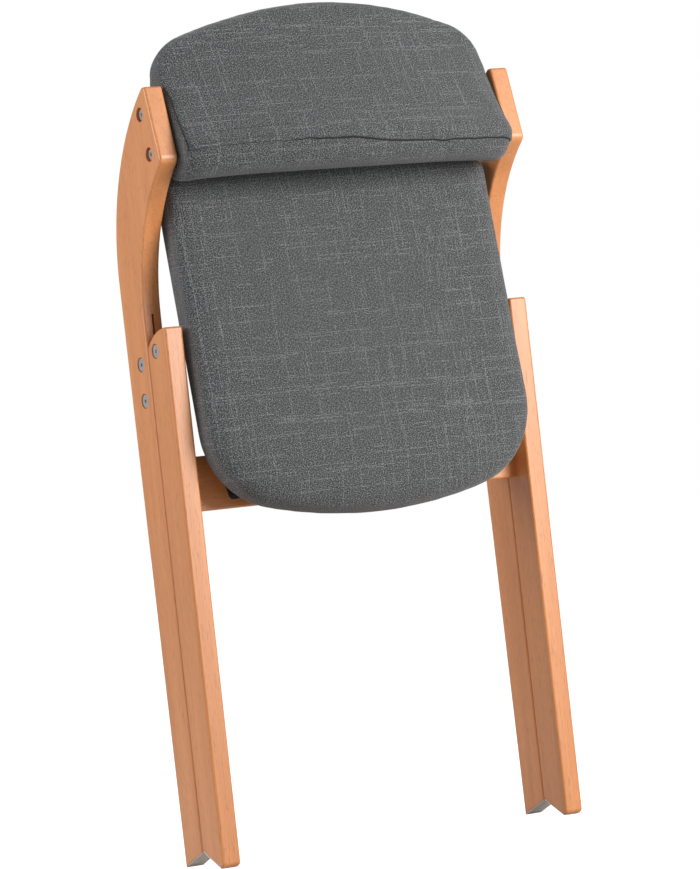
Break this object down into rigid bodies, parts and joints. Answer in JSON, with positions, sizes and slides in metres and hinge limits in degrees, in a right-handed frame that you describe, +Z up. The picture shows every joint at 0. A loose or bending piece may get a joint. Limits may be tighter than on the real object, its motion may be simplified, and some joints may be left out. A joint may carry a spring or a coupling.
{
  "type": "folding dining chair",
  "caption": "Folding wooden chair, shown folded: curved uprights, pivoting rear legs, padded seat on a hinged rear rail and a bent padded backrest with a thick lower roll.",
  "frame": {"origin": "middle of the bounding box of the folded chair, on the floor", "axes": "+Z up; the sitter faces -Y, so +Y is the back of the chair; +X points to the sitter's left"},
  "size_m": [0.472, 0.185, 0.954],
  "materials": {
    "beech": "light orange beech under clear satin lacquer",
    "plywood": "plain beech plywood, hidden in use",
    "upholstery": "slate-grey flat woven linen-look cloth over foam",
    "lining": "thin black non-woven lining",
    "zinc_steel": "zinc-plated steel",
    "black_steel": "black coated steel",
    "foot_pad": "off-white matt glide pad"
  },
  "bodies": {
    "front_frame": {"upright_left": "beech", "upright_right": "beech", "front_rail": "beech", "front_rail_dowels": "beech", "hinge_plate_left": "zinc_steel", "hinge_plate_right": "zinc_steel", "plate_bolts_left": "zinc_steel", "plate_bolts_right": "zinc_steel", "plate_nuts_left": "zinc_steel", "plate_nuts_right": "zinc_steel", "backrest_board": "plywood", "backrest_cushion": "upholstery", "backrest_bolts_left": "zinc_steel", "backrest_bolts_right": "zinc_steel", "backrest_inserts_left": "zinc_steel", "backrest_inserts_right": "zinc_steel", "front_foot_pad_left": "foot_pad", "front_foot_pad_right": "foot_pad"},
    "rear_frame": {"rear_leg_left": "beech", "rear_leg_right": "beech", "rear_rail": "beech", "rear_rail_dowels": "beech", "pivot_bolt_left": "zinc_steel", "pivot_bolt_right": "zinc_steel", "pivot_nut_left": "zinc_steel", "pivot_nut_right": "zinc_steel", "rear_foot_pad_left": "foot_pad", "rear_foot_pad_right": "foot_pad", "rail_hinge_leaf_left": "black_steel", "rail_hinge_leaf_right": "black_steel", "hinge_pin_left": "black_steel", "hinge_pin_right": "black_steel", "rail_leaf_screws": "black_steel"},
    "seat": {"seat_board": "plywood", "seat_cushion": "upholstery", "seat_dust_cover": "lining", "seat_hinge_leaf_left": "black_steel", "seat_hinge_leaf_right": "black_steel", "seat_leaf_screws": "black_steel"}
  },
  "joints": [
    {"name": "leg_pivot", "type": "hinge", "parent": "front_frame", "child": "rear_frame", "pos_m": [0, -0.0185, 0.579], "axis": [1, 0, 0], "range_deg": [0, 45]},
    {"name": "seat_hinge", "type": "hinge", "parent": "rear_frame", "child": "seat", "pos_m": [0, -0.0105, 0.44], "axis": [1, 0, 0], "range_deg": [0, 54.5]}
  ]
}
